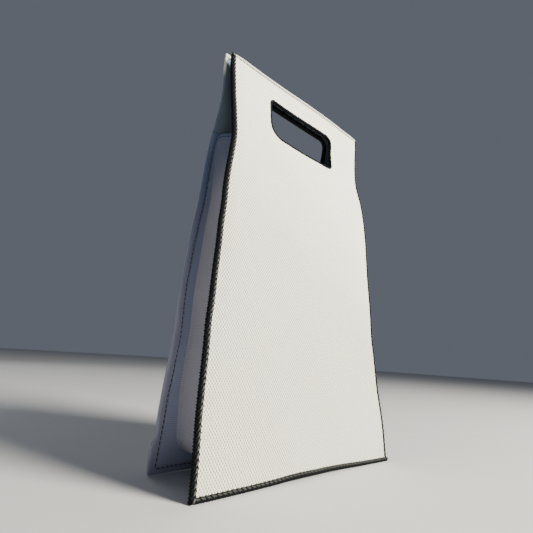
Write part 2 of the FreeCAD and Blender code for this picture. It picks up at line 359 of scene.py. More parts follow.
def weave_material(name, light, dark, warm, groove_shade_strength, pitch=(0.916, 1.498), rib=0.35, bump=0.5, rough=0.62, sheen=0.15, coat=0.0,
                   soil=0.5, over=0.8, fade=0.0, pit=1.6, top=None):
    """Plain-weave coated glass cloth: crossing threads with their own height, painted shade in the grooves between
    them, colour drift and random soiling specks; top paints shade by height.
    """
    m, nt, bsdf = principled(name)
    uv = node(nt, "ShaderNodeUVMap", uv_map="cloth").outputs["UV"]
    obj = node(nt, "ShaderNodeTexCoord").outputs["Object"]
    wob = noise(nt, uv, 160.0, 2.0)
    sep = node(nt, "ShaderNodeSeparateXYZ")
    nt.links.new(uv, sep.inputs[0])
    # threads wander a little
    jit = math_node(nt, "MULTIPLY", math_node(nt, "SUBTRACT", wob, 0.5), 0.0009)
    u = math_node(nt, "ADD", sep.outputs["X"], jit)
    v = math_node(nt, "ADD", sep.outputs["Y"], jit)
    ku, kv = math.pi / (pitch[0] * MM), math.pi / (pitch[1] * MM)
    cu = math_node(nt, "COSINE", math_node(nt, "MULTIPLY", u, ku))
    cv = math_node(nt, "COSINE", math_node(nt, "MULTIPLY", v, kv))
    cross = math_node(nt, "MULTIPLY", cu, cv)                        # over and under
    c2v = math_node(nt, "COSINE", math_node(nt, "MULTIPLY", v, 2 * kv))
    c2u = math_node(nt, "COSINE", math_node(nt, "MULTIPLY", u, 2 * ku))
    ribs = math_node(nt, "ADD", math_node(nt, "MULTIPLY", c2v, rib), math_node(nt, "MULTIPLY", c2u, rib * 0.5))
    height = math_node(nt, "ADD", math_node(nt, "MULTIPLY", cross, over), ribs)
    h01 = math_node(nt, "ADD", math_node(nt, "MULTIPLY", height, 0.36), 0.5)
    # slow colour drift and handling marks
    drift = noise(nt, uv, 14.0, 4.0, 0.6)
    speck = noise(nt, uv, 420.0, 2.0, 0.7)
    ramp = node(nt, "ShaderNodeMapRange")
    ramp.inputs["From Min"].default_value = 0.35
    ramp.inputs["From Max"].default_value = 0.68
    nt.links.new(drift, ramp.inputs["Value"])
    base = mix_color(nt, ramp.outputs["Result"], light, warm)
    speck_f = math_node(nt, "MULTIPLY", math_node(nt, "SUBTRACT", 0.62, speck), 0.5 * soil)
    base = mix_color(nt, math_node(nt, "MAXIMUM", speck_f, 0.0), base, dark)
    # painted shade in the grooves: the lower the weave lies, the further its colour is pulled towards dark
    inv = math_node(nt, "SUBTRACT", 1.0, h01)
    groove_shade = math_node(nt, "MULTIPLY", math_node(nt, "POWER", math_node(nt, "MAXIMUM", inv, 0.0), pit), groove_shade_strength)
    # fade: higher up the cloth (v + 0.55 x from 0.15 to 0.30 m, with a wavy edge) the painted groove shade weakens to
    # this fraction
    if fade:
        thick = node(nt, "ShaderNodeMapRange", interpolation_type="SMOOTHSTEP")
        thick.inputs["From Min"].default_value = 0.15
        thick.inputs["From Max"].default_value = 0.30
        thick.inputs["To Min"].default_value = 1.0
        thick.inputs["To Max"].default_value = fade
        cloudy = math_node(nt, "ADD", math_node(nt, "MULTIPLY", sep.outputs["X"], 0.55), math_node(nt, "MULTIPLY", drift, 0.08))
        nt.links.new(math_node(nt, "ADD", sep.outputs["Y"], cloudy), thick.inputs["Value"])
        groove_shade = math_node(nt, "MULTIPLY", groove_shade, thick.outputs["Result"])
    base = mix_color(nt, groove_shade, base, dark)
    if top:                                              # (from height, to height, tint): painted shade by height, the colour is multiplied by the tint towards the to height, mostly the upper end
        up = node(nt, "ShaderNodeMapRange", interpolation_type="SMOOTHSTEP")
        up.inputs["From Min"].default_value = top[0]
        up.inputs["From Max"].default_value = top[1]
        so = node(nt, "ShaderNodeSeparateXYZ")
        nt.links.new(obj, so.inputs[0])
        nt.links.new(so.outputs["Z"], up.inputs["Value"])
        base = mix_color(nt, up.outputs["Result"], base, mix_color(nt, 1.0, base, top[2], "MULTIPLY"))
    nt.links.new(base, bsdf.inputs["Base Color"])
    # the coating is smoother on the crowns of the threads
    rr = node(nt, "ShaderNodeMapRange")
    rr.inputs["To Min"].default_value = rough + 0.14
    rr.inputs["To Max"].default_value = rough - 0.12
    nt.links.new(h01, rr.inputs["Value"])
    nt.links.new(rr.outputs["Result"], bsdf.inputs["Roughness"])
    fine = noise(nt, obj, 2600.0, 2.0, 0.6)
    bh = math_node(nt, "ADD", h01, math_node(nt, "MULTIPLY", fine, 0.22))
    b = node(nt, "ShaderNodeBump")
    b.inputs["Strength"].default_value = bump
    b.inputs["Distance"].default_value = 0.00035
    nt.links.new(bh, b.inputs["Height"])
    nt.links.new(b.outputs["Normal"], bsdf.inputs["Normal"])
    bsdf.inputs["Sheen Weight"].default_value = sheen
    bsdf.inputs["Sheen Roughness"].default_value = 0.5
    bsdf.inputs["Specular IOR Level"].default_value = 0.35
    bsdf.inputs["Coat Weight"].default_value = coat
    bsdf.inputs["Coat Roughness"].default_value = 0.45
    return m


def thread_material(name, dark, light, rough=0.5, twist=2400.0, sheen=0.04, spec=0.3, fine=900.0):
    """Spun polyester thread: fine twisted fibres; the light colour, mixed in along the twist, is painted highlight
    where the fibres catch the light.
    """
    m, nt, bsdf = principled(name)
    obj = node(nt, "ShaderNodeTexCoord").outputs["Object"]
    w = node(nt, "ShaderNodeTexWave", wave_type="BANDS", bands_direction="DIAGONAL")
    w.inputs["Scale"].default_value = twist
    w.inputs["Distortion"].default_value = 3.0
    w.inputs["Detail"].default_value = 2.0
    nt.links.new(obj, w.inputs["Vector"])
    n1 = noise(nt, obj, fine, 3.0, 0.65)
    n2 = noise(nt, obj, 60.0, 2.0, 0.5)
    f = math_node(nt, "MULTIPLY", w.outputs["Fac"], n1)
    f = math_node(nt, "ADD", math_node(nt, "MULTIPLY", f, 0.9), math_node(nt, "MULTIPLY", n2, 0.15))
    nt.links.new(mix_color(nt, f, dark, light), bsdf.inputs["Base Color"])
    b = node(nt, "ShaderNodeBump")
    b.inputs["Strength"].default_value = 0.6
    b.inputs["Distance"].default_value = 0.00012
    nt.links.new(math_node(nt, "ADD", w.outputs["Fac"], n1), b.inputs["Height"])
    nt.links.new(b.outputs["Normal"], bsdf.inputs["Normal"])
    rr = node(nt, "ShaderNodeMapRange")
    rr.inputs["To Min"].default_value = rough - 0.1
    rr.inputs["To Max"].default_value = rough + 0.15
    nt.links.new(n1, rr.inputs["Value"])
    nt.links.new(rr.outputs["Result"], bsdf.inputs["Roughness"])
    bsdf.inputs["Sheen Weight"].default_value = sheen
    bsdf.inputs["Specular IOR Level"].default_value = spec
    return m


M_FRONT = weave_material("front_cloth", (0.925, 0.90, 0.785), (0.10, 0.10, 0.085), (0.94, 0.90, 0.73), 1.3, bump=1.0, rib=0.1,
                         over=1.25, fade=0.20, pit=2.4)
M_BACK = weave_material("back_cloth", (0.85, 0.845, 0.80), (0.15, 0.15, 0.14), (0.87, 0.85, 0.77), 1.1, bump=1.0, rib=0.1, over=1.15,
                        fade=0.25, pit=2.6)
# lining colour: painted shade, a dark blue standing in for the pale cloth lying in shade
M_LIN_PAINTED_SHADE = weave_material("lining_cloth", (0.125, 0.165, 0.235), (0.06, 0.08, 0.12), (0.135, 0.17, 0.23), 0.40, pitch=(0.8, 1.0), rough=0.75,
                       bump=0.45)
# gusset colour: painted shade, the pale cloth given a darker blue-grey as it looks in shade; top paints it darker and
# bluer towards its upper end
M_GUS_PAINTED_SHADE = weave_material("gusset_cloth", (0.42, 0.41, 0.49), (0.17, 0.17, 0.23), (0.44, 0.415, 0.47), 0.65, pitch=(0.9, 1.3), rib=0.6,
                       rough=0.6, bump=0.55, top=(0.175, 0.226, (0.42, 0.50, 0.62)))
# flange colour: painted shade in blue-grey; top paints it darker from the bottom upwards
M_FLG_PAINTED_SHADE = weave_material("flange_cloth_painted_shade", (0.37, 0.42, 0.58), (0.15, 0.18, 0.28), (0.40, 0.43, 0.57), 0.7, pitch=(0.9, 1.15), rib=0.75,
                       rough=0.62, bump=0.6, top=(0.04, 0.20, (0.58, 0.62, 0.68)))
# rim colour: painted shade in blue-grey; top paints it darker and bluer towards the upper end
M_RIM_PAINTED_SHADE = weave_material("rim_cloth_painted_shade", (0.31, 0.335, 0.43), (0.16, 0.17, 0.24), (0.33, 0.34, 0.43), 0.35, pitch=(0.9, 1.3), rib=0.25, sheen=0.02,
                       rough=0.5, bump=0.3, top=(0.06, 0.215, (0.36, 0.45, 0.58)))
# flap rim: pale cloth at the top, painted shade below, where the colour is multiplied by dark blue under 0.279 m
M_CORNER_LOWER_PAINTED_SHADE = weave_material("flap_rim_cloth_lower_painted_shade", (0.84, 0.835, 0.79), (0.35, 0.35, 0.33), (0.86, 0.84, 0.76), 0.35, pitch=(0.9, 1.3), rib=0.25,
                          rough=0.5, bump=0.3, top=(0.291, 0.279, (0.15, 0.20, 0.29)))
M_THR = thread_material("black_thread", (0.002, 0.003, 0.005), (0.014, 0.016, 0.018), 0.55, sheen=0.0, spec=0.12)
# bead threads: the black looper thread with a much lighter colour in its flecks, painted highlight; the low copy is a
# dimmer one
M_BEAD_PAINTED_HIGHLIGHT = thread_material("bead_thread_painted_highlight", (0.012, 0.013, 0.013), (0.21, 0.213, 0.20), 0.5, 900.0, 0.0, 0.3, 420.0)
M_BEAD_LOW_PAINTED_HIGHLIGHT = thread_material("bead_thread_low_painted_highlight", (0.014, 0.015, 0.014), (0.10, 0.103, 0.094), 0.5, 900.0, 0.0, 0.25, 260.0)
M_BED = thread_material("thread_bed", (0.002, 0.0025, 0.004), (0.010, 0.011, 0.013), 0.6, sheen=0.0, spec=0.1)
M_LOCK = thread_material("lock_thread", (0.007, 0.009, 0.018), (0.045, 0.053, 0.085), 0.5, sheen=0.0, spec=0.2)
M_TAPE = thread_material("closure_tape", (0.52, 0.52, 0.51), (0.80, 0.80, 0.78), 0.6, 1800.0)


def paint(o, m):
    o.data.materials.clear()
    o.data.materials.append(m)
    return o


# ------------------------------------------------------------------ the two cloths
def arc(side):
    T, Y = (TF, YF) if side == "front" else (TB, YB)
    s = np.concatenate([[0], np.cumsum(np.hypot(np.diff(T), np.diff(Y)))])
    return T, s - np.interp(0, T, s)


def cloth_grid(side, inset, z0, z1, hole_grow=0.0, dz=2.0):
    """Grid over one cloth with straight lines along the hand hole, and the cells to keep."""
    w = hw_front if side == "front" else hw_back
    hx0, hx1 = HOLE_X - HOLE_W / 2 - hole_grow, HOLE_X + HOLE_W / 2 + hole_grow
    hz0, hz1 = HOLE_Z - HOLE_H / 2 - hole_grow, HOLE_Z + HOLE_H / 2 + hole_grow
    zs = np.concatenate([np.linspace(z0, hz0, int((hz0 - z0) / dz) + 2), np.linspace(hz0, hz1, 17)[1:],
                         np.linspace(hz1, z1, int((z1 - hz1) / 1.6) + 2)[1:]])
    n1, n2 = 27, 37
    rows = []
    for z in zs:
        e = float(w(z)) - inset
        rows.append(np.concatenate([np.linspace(-e, hx0, n1), np.linspace(hx0, hx1, n2)[1:], np.linspace(hx1, e, n1)[1:]]))
    X = np.array(rows)
    Z = np.repeat(zs[:, None], X.shape[1], 1)
    xc, zc = 0.25 * (X[1:, 1:] + X[:-1, 1:] + X[1:, :-1] + X[:-1, :-1]), 0.5 * (Z[1:, 1:] + Z[:-1, 1:])
    keep = ~((xc > hx0) & (xc < hx1) & (zc > hz0) & (zc < hz1))
    # round the corners of the hole, dragging the cloth near them along
    cx, cz = HOLE_X, HOLE_Z
    hw2, hh2 = (hx1 - hx0) / 2, (hz1 - hz0) / 2
    right, up = X > cx, Z > cz
    r = hole_grow + np.where(right, np.where(up, HOLE_R[1, 1], HOLE_R[1, -1]), np.where(up, HOLE_R[-1, 1], HOLE_R[-1, -1]))
    px, pz = np.abs(X - cx), np.abs(Z - cz)
    bx, bz = np.minimum(px, hw2), np.minimum(pz, hh2)
    dist = np.hypot(px - bx, pz - bz)
    qx, qz = bx - (hw2 - r), bz - (hh2 - r)
    inside = (qx > 0) & (qz > 0)
    l = np.hypot(qx, qz) + 1e-9
    m = np.maximum(qx, qz)
    k = np.where(inside, m / l, 1.0)
    mx = np.where(inside, qx * k - qx, 0.0)
    mz = np.where(inside, qz * k - qz, 0.0)
    # corners of a square pulled onto the arc
    fall = np.clip(1 - dist / 9.0, 0, 1) ** 1.5
    X2 = X + np.sign(X - cx) * mx * fall
    Z2 = Z + np.sign(Z - cz) * mz * fall
    T, S = arc(side)
    uv = np.stack([X2, np.interp(Z2, T, S)], -1)
    return X2, Z2, uv, keep


def cloth(name, side, d0, d1, inset, z0, z1, grow, mat, nodes_):
    X, Z, uv, keep = cloth_grid(side, inset, z0, z1, grow)
    o = shell(name, uv, on_cloth(side, X, Z, d0), on_cloth(side, X, Z, d1), keep, 35)
    paint(o, mat)
    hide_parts(*nodes_)
    return o


def bend(o, side):
    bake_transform(o)
    return o


front_cloth = cloth("front_cloth", "front", 0.0, T_OUT, 0.5, 0.5, H - 0.6, 0.5, M_FRONT, ["front_panel", "front_flap"])
front_lin = cloth("front_lining_cloth", "front", T_OUT + 0.02, D_LIN, 0.5, 0.6, H - 1.2, 0.5, M_LIN_PAINTED_SHADE,
                  ["front_lining", "front_facing"])
back_cloth = cloth("back_cloth", "back", 0.0, T_OUT, 0.25, 0.25, H - 0.6, 0.5, M_BACK, ["back_panel", "back_flap"])
back_lin = cloth("back_lining_cloth", "back", T_OUT + 0.02, D_LIN, 0.6, 0.6, H - 1.2, 0.5, M_LIN_PAINTED_SHADE,
                 ["back_lining", "back_facing"])
for o, side in ((front_cloth, "front"), (front_lin, "front"), (back_cloth, "back"), (back_lin, "back")):
    bend(o, side)


# ------------------------------------------------------------------ paths round an edge
def edge_path(side, step, z_top, bottom=True, corner=0.0):
    """(kind, along) stations down the left edge, along the bottom, up the right edge."""
    w = hw_front if side == "front" else hw_back
    st = []
    z = z_top
    while z > corner:
        st.append(("L", z))
        z -= step
    if bottom:
        x = -float(w(0)) + corner + (corner - z)
        while x < float(w(0)) - corner:
            st.append(("B", x))
            x += step
        z = corner + (x - (float(w(0)) - corner))
    else:
        z = max(corner, 0.5)
    while z < z_top:
        st.append(("R", z))
        z += step
    return st


def at_edge(side, kind, along, e, d):
    """Point at inset e from the edge and depth d; along is z on the sides and x on the bottom."""
    w = hw_front if side == "front" else hw_back
    if kind == "L":
        return on_cloth(side, -(w(along) - e), along, d)
    if kind == "R":
        return on_cloth(side, w(along) - e, along, d)
    return on_cloth(side, along, e, d)


def advance(kind, along, da):
    return along - da if kind == "L" else along + da


# channel of dark looper thread that beds over the front edge
def channel(name, side, kinds, prof, z_top, step, mat, z_bot=0.0, miter=True):
    """Sweep the profile [(e, d)...] round the edge; each side is its own strip with mitred bottom corners."""
    objs_v, faces, uvs = [], [], []
    base = 0
    w = hw_front if side == "front" else hw_back
    m = len(prof)
    for kind in kinds:
        if kind == "B":
            al = np.linspace(-float(w(0)), float(w(0)), int(2 * float(w(0)) / step) + 2)
        else:
            al = np.linspace(z_bot, z_top, int((z_top - z_bot) / step) + 2)
        grid = np.zeros((len(al), m, 3))
        for j, (e, d) in enumerate(prof):
            if kind == "B":
                a = np.clip(al, -float(w(0)) + e, float(w(0)) - e) if miter else al
                grid[:, j] = at_edge(side, "B", a, np.full_like(a, e), np.full_like(a, d))
            else:
                a = np.maximum(al, e + z_bot) if miter else al
                grid[:, j] = at_edge(side, kind, a, np.full_like(a, e), np.full_like(a, d))
        objs_v.append(grid.reshape(-1, 3))
        uvs.append(np.stack(np.meshgrid(np.arange(m) * 0.9, al), -1).reshape(-1, 2))
        for i in range(len(al) - 1):
            for j in range(m - 1):
                a0 = base + i * m + j
                faces.append((a0, a0 + 1, a0 + m + 1, a0 + m))
        base += len(al) * m
    o = new_object(name, np.concatenate(objs_v), faces, True, 60)
    put_uv(o, np.concatenate(uvs) * MM)
    bm = bmesh.new()
    bm.from_mesh(o.data)
    bmesh.ops.remove_doubles(bm, verts=bm.verts, dist=0.00002)
    bm.to_mesh(o.data)
    bm.free()
    sol = o.modifiers.new("thick", "SOLIDIFY")
    sol.thickness = 0.00022
    sol.offset = 0.0
    bpy.context.view_layer.objects.active = o
    with bpy.context.temp_override(object=o, active_object=o, selected_objects=[o]):
        bpy.ops.object.modifier_apply(modifier="thick")
    fix_normals(o)
    return paint(o, mat)


OUT = -0.30
bed_profile = [(BAND, -0.10), (BAND - 0.4, OUT), (0.9, OUT), (0.05, OUT + 0.02), (-0.35, 0.25), (-0.42, 1.0), (-0.35, D_ALL - 0.2),
               (0.05, D_ALL + 0.22), (0.9, D_ALL + 0.28), (BAND - 0.3, D_ALL + 0.28), (BAND, D_ALL + 0.05)]
front_bed = channel("front_overlock_bed", "front", ("L", "B"), bed_profile, H - 0.3, 2.2, M_BED)
bend(front_bed, "front")
NARROW = 0.5                                    # the right edge is bound tighter than the left
right_profile = [(e * (NARROW if e > 0 and d < 0.3 else 1.0), d) for e, d in bed_profile]
right_bed = channel("front_overlock_bed_right", "front", ("R",), right_profile, H - 0.3, 2.2, M_BED)
bend(right_bed, "front")

# looping threads of the overlock seam
ov, beads, low = Tubes(), Tubes(), Tubes()
for kind, al in edge_path("front", PITCH, H - 1.2, True, 0.4):
    j = rng.normal(0, 0.12, 6)
    pl = PITCH * (1 + 0.05 * j[0])

    def P(da, e, d):
        if kind == "R":
            e = e * NARROW if e > 0 and d < 0.3 else (e * 0.55 if e < 0 else e)
        return at_edge("front", kind, max(advance(kind, al, da), 0.1) if kind != "B" else advance(kind, al, da), e, d)

    r = 0.44 + 0.03 * j[1]
    # looper thread: needle hole, across the face, round the edge, back to the needle hole inside
    a = [P(0.05 * pl, BAND - 0.05 + j[2], 0.0), P(0.20 * pl, BAND - 0.6, -0.42), P(0.45 * pl, 1.1, -0.55), P(0.70 * pl, 0.25, -0.42),
         P(0.86 * pl, -0.5, 0.25), P(0.95 * pl, -0.62, 1.1), P(1.05 * pl, -0.45, D_ALL), P(1.2 * pl, 0.5, D_ALL + 0.5),
         P(1.4 * pl, 1.6, D_ALL + 0.5), P(1.5 * pl, BAND - 0.2, D_ALL + 0.1)]
    ov.tube(curve_pts(a, 19), r, 6)
    b = [P(0.05 * pl, BAND - 0.1, 0.0), P(-0.02 * pl, 1.8, -0.36), P(0.12 * pl, 1.0, -0.45), P(0.3 * pl, 0.1, -0.36),
         P(0.42 * pl, -0.5, 0.3), P(0.48 * pl, -0.6, 1.1), P(0.5 * pl, -0.42, D_ALL), P(0.4 * pl, 0.6, D_ALL + 0.48),
         P(0.2 * pl, 1.8, D_ALL + 0.42)]
    ov.tube(curve_pts(b, 17), r * 0.9, 6)
    # the two loopers lock in a tilted bead on the face
    up, sh = (0.22, 0.6) if kind == "L" else (0.0, 0.0)  # on the left the beads sit nearer the edge
    c = [P(0.02 * pl, BAND - 0.35 - sh + j[3], -0.35 - up), P(0.24 * pl, BAND - 0.6 - sh, -0.85 - up), P(0.50 * pl, 1.55 - sh, -1.0 - up),
         P(0.76 * pl, 1.15 - sh, -0.7 - up)]
    size = (0.92 + 0.06 * j[5]) * {"L": 1.0, "B": 0.74, "R": 0.55}[kind]
    (beads if kind == "L" else low).tube(curve_pts(c, 8), np.array([0.22, 0.48, 0.62, 0.68, 0.66, 0.58, 0.42, 0.2]) * size, 7)
    if kind == "B":                                      # the looper thread lies doubled along the bottom
        c = [P(0.54 * pl, BAND - 0.3 - j[3], -0.45), P(0.68 * pl, BAND - 0.7, -0.8), P(0.86 * pl, 1.45, -0.9), P(1.04 * pl, 0.9, -0.6)]
        low.tube(curve_pts(c, 8), np.array([0.2, 0.34, 0.42, 0.44, 0.42, 0.38, 0.3, 0.16]) * size * 1.2, 6)
    # needle thread: a short dark bar at each stitch, biting into the cloth
    n_ = [P(0.05 * pl, BAND - 0.2, -0.1), P(0.1 * pl, BAND + 0.15 + 0.6 * j[4], -0.16), P(0.26 * pl, BAND + 0.1 + 0.6 * j[4], -0.16),
          P(0.42 * pl, BAND - 0.3, -0.3)]
    ov.tube(curve_pts(n_, 6), 0.24 if kind == "L" else 0.2, 5)
# beads on the left take the brighter painted highlight, those along the bottom and right the dimmer one
front_beads = paint(beads.make("front_overlock_beads"), M_BEAD_PAINTED_HIGHLIGHT)
bend(front_beads, "front")
low_beads = paint(low.make("front_overlock_beads_low"), M_BEAD_LOW_PAINTED_HIGHLIGHT)
bend(low_beads, "front")
front_over = paint(ov.make("front_overlock"), M_THR)
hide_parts("front_edge_overlock", "front_flap_overlock")
bend(front_over, "front")

# chained-off thread tails at the top ends of the seam
tl = Tubes()
for k, (sx, dx, dz) in enumerate(((-1, -0.6, 3.2), (-1, 0.9, 3.9), (-1, 0.2, 2.6))):
    p0 = on_cloth("front", sx * (hw_front(H) - 0.7 - 0.3 * k), H - 2.0, 0.6 + 0.25 * k)
    pts = [p0, p0 + [dx * 0.2, -0.2, dz * 0.45], p0 + [dx * 0.7, 0.3, dz * 0.8], p0 + [dx * 1.4, 0.7, dz + 0.6]]
    tl.tube(curve_pts(pts, 8), np.linspace(0.34, 0.16, 8), 5)
tails = paint(tl.make("overlock_thread_tails"), M_THR)
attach(tails, "front_flap")


# ------------------------------------------------------------------ rolled top folds
def top_fold(name, side, mat, body, d_in, proud):
    w = hw_front if side == "front" else hw_back
    prof = [(T_OUT + 0.4, H - 3.4), (T_OUT + 0.55, H - 2.2), (T_OUT + 0.5, H - 0.9), (T_OUT * 0.9, H - 0.1), (0.35, H + 0.15),
            (-0.15, H - 0.25), (-proud, H - 1.0), (-proud * 0.9, H - 1.75), (0.12, H - 2.25)]
    prof = [(d_in if i < 3 else d, z) for i, (d, z) in enumerate(prof)]
    xs = np.linspace(-1, 1, 110)
    g = np.zeros((len(xs), len(prof), 3))
    for j, (d, z) in enumerate(prof):
        x = xs * (float(w(min(z, H))) - 0.6)
        g[:, j] = on_cloth(side, x, np.full_like(x, z), np.full_like(x, d))
    m = len(prof)
    faces = [(i * m + j, i * m + j + 1, (i + 1) * m + j + 1, (i + 1) * m + j) for i in range(len(xs) - 1) for j in range(m - 1)]
    o = new_object(name, g.reshape(-1, 3), faces, True, 70)
    s = np.cumsum([0] + [math.hypot(prof[k][0] - prof[k - 1][0], prof[k][1] - prof[k - 1][1]) for k in range(1, m)])
    put_uv(o, np.stack(np.meshgrid(s, xs * 75), -1).reshape(-1, 2)[:, ::-1] * MM)
    sol = o.modifiers.new("thick", "SOLIDIFY")
    sol.thickness = 0.0003
    sol.offset = 0.0
    with bpy.context.temp_override(object=o, active_object=o, selected_objects=[o]):
        bpy.ops.object.modifier_apply(modifier="thick")
    fix_normals(o)
    paint(o, mat)
    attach(o, body)
    return o


top_fold("front_top_fold", "front", M_FRONT, "front_flap", D_LIN + 0.15, 0.42)
top_fold("back_top_fold", "back", M_BACK, "back_flap", D_LIN + 0.15, 0.42)


# ------------------------------------------------------------------ rows of lockstitch
def stitches(tubes, place, a0, a1, pitch=3.2, length=2.6, r=0.27, lift=0.22):
    """place(along, height) gives the point; each stitch dips into the cloth at both ends."""
    n = int(abs(a1 - a0) / pitch)
    sg = 1 if a1 > a0 else -1
    for k in range(n):
        a = a0 + sg * (k + 0.5) * pitch + rng.normal(0, 0.08)
        h = length / 2 * (1 + rng.normal(0, 0.04))
        pts = [place(a - sg * h, -0.25), place(a - sg * h * 0.8, lift * 0.8), place(a, lift * 1.15), place(a + sg * h * 0.8, lift * 0.8),
               place(a + sg * h, -0.25)]
        tubes.tube(curve_pts(pts, 8), r, 6)


SEAM, SEAM_B = 3.6, 3.3
bs, bf = Tubes(), Tubes()
for face, off in (("out", 0.0), ("in", D_ALL)):
    sg = -1 if face == "out" else 1

    def at(kind):
        def place(a, h, kind=kind, off=off, sg=sg):
            wob = 0.25 * math.sin(a / 13.0) + 0.12 * math.sin(a / 4.1) + (1.1 * math.exp(-((a - 72) / 22.0) ** 2) if kind == "L" else 0)
            return at_edge("back", kind, a, (SEAM_B if kind == "B" else SEAM) + wob, off + sg * h)
        return place

    stitches(bs, at("L"), SEAM_B + 0.2, ZK - 4.5, length=2.35, r=0.31)
    stitches(bs, at("B"), -float(hw_back(0)) + SEAM + 0.5, float(hw_back(0)) - SEAM - 0.5, length=2.35, r=0.31)
    stitches(bs, at("R"), SEAM_B + 0.2, ZK - 4.5, length=2.35, r=0.31)
    off2 = off if face == "out" else D_LIN

    def at2(kind):
        def place(a, h, kind=kind, off=off2, sg=sg):
            wob = 0.25 * math.sin(a / 13.0)
            return at_edge("back", kind, a, SEAM + wob, off + sg * h)
        return place

    if face == "in":
        continue
    stitches(bf, at2("L"), ZK - 3.5, H - 3.5, length=2.35, r=0.28)
    stitches(bf, at2("R"), ZK - 3.5, H - 3.5, length=2.35, r=0.28)
back_st = paint(bs.make("back_seam_lockstitch"), M_LOCK)
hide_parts("back_seam_stitching")
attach(back_st, "back_panel")
back_fst = paint(bf.make("back_flap_lockstitch"), M_LOCK)
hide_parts("back_flap_stitching")
bend(back_fst, "back")

for side, name, nd in (("front", "front_top_lockstitch", "front_top_stitching"), ("back", "back_top_lockstitch", "back_top_stitching")):
    t = Tubes()

    def place(a, h, side=side):
        return on_cloth(side, a, H - 2.75, -h)

    stitches(t, place, -70, 70, 2.9, 2.5, 0.17, 0.12)
    o = paint(t.make(name), M_LOCK)
    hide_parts(nd)
    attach(o, side + "_flap")


# ------------------------------------------------------------------ gusset strip and its turned edges
G_FLOOR, G_RAD = 9.7, 15.0


def leg_x(z):
    return hw_back(z) - table(z, GUSSET_SEAM, 6.0)


def gusset_path(top):
    """Points (x, z) and outward normals down the left leg, along the floor and up the right leg."""
    zc = G_FLOOR + G_RAD
    xc = float(leg_x(zc)) - G_RAD
    zs = np.linspace(top, zc, 96)
    left = [(-float(leg_x(z)), z) for z in zs]
    left += [(-(xc + G_RAD * math.cos(a)), zc - G_RAD * math.sin(a)) for a in np.linspace(0, math.pi / 2, 15)[1:]]
    flat = [(x, G_FLOOR) for x in np.linspace(-xc, xc, 52)[1:-1]]
    pts = np.array(left + flat + [(-x, z) for x, z in left[::-1]])
    t = np.gradient(pts, axis=0)
    t /= np.linalg.norm(t, axis=1)[:, None]
    nrm = np.stack([t[:, 1], -t[:, 0]], -1)
    nrm *= np.where((nrm * (pts - [0, 150])).sum(1) < 0, -1, 1)[:, None]
    return pts, nrm


def front_root(x, z):
    lim = hw_front(z) - 3.4
    return np.sign(x) * np.minimum(np.abs(x), lim)


def gusset_surface(pts, nrm, W, off):
    """Points on the gusset: W from 0 at the back cloth to 1 at the front cloth, off outward in mm."""
    x, z = pts[:, None, 0], pts[:, None, 1]
    xf = front_root(x, z)
    b = on_cloth("back", x, z, D_ALL)
    f = on_cloth("front", xf, z, D_ALL + 0.1)
    leg = smooth(30, 45, z) * (np.abs(x) > 50)
    bulge = np.sin(np.pi * W)
    belly = 0.9 * bulge ** 0.8 * leg + 0.7 * bulge * (1 - leg)
    pleat = 4.9 * smooth(196, 236, z) * bulge ** 3
    corner = np.exp(-(((z - 14) / 7.0) ** 2)) * (np.abs(x) > 55)
    pucker = 0.22 * corner * np.sin((z + np.abs(x)) / 1.1) * (1 - bulge) ** 2
    soft = 0.35 * np.sin(z / 23.0 + W * 3.0) * bulge + 0.18 * np.sin(z / 9.0 + x / 13.0 - W * 2.0) * bulge
    gap = np.abs(b[..., 1] - f[..., 1])
    lip = 1.0 * np.exp(-np.minimum(W, 1 - W) * gap / 0.8)
    o = off + belly - pleat + pucker + soft + lip
    P = np.zeros(np.broadcast(x, W).shape + (3,))
    P[..., 0] = b[..., 0] + (f[..., 0] - b[..., 0]) * W + nrm[:, None, 0] * o
    P[..., 1] = b[..., 1] + (f[..., 1] - b[..., 1]) * W
    P[..., 2] = z + nrm[:, None, 1] * o
    return P


gp, gn = gusset_path(G_TOP - 0.5)
gs = np.concatenate([[0], np.cumsum(np.hypot(*np.diff(gp, axis=0).T))])
Wg = np.concatenate([[0, 0.015, 0.035, 0.07], np.linspace(0.12, 0.88, 17), [0.93, 0.965, 0.985, 1.0]])[None, :]
A, Bi = gusset_surface(gp, gn, Wg, 0.0), gusset_surface(gp, gn, Wg, -G_T)
span = np.linalg.norm(np.diff(A, axis=1), axis=2).sum(1)
guv = np.stack([span[:, None] * (Wg - 0.5), np.broadcast_to(gs[:, None], (len(gs), Wg.shape[1]))], -1)
gusset = shell("gusset_cloth", guv, A, Bi, None, 40)
paint(gusset, M_GUS_PAINTED_SHADE)
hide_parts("gusset")


def gusset_bend(o):
    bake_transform(o)
    return o


gusset_bend(gusset)


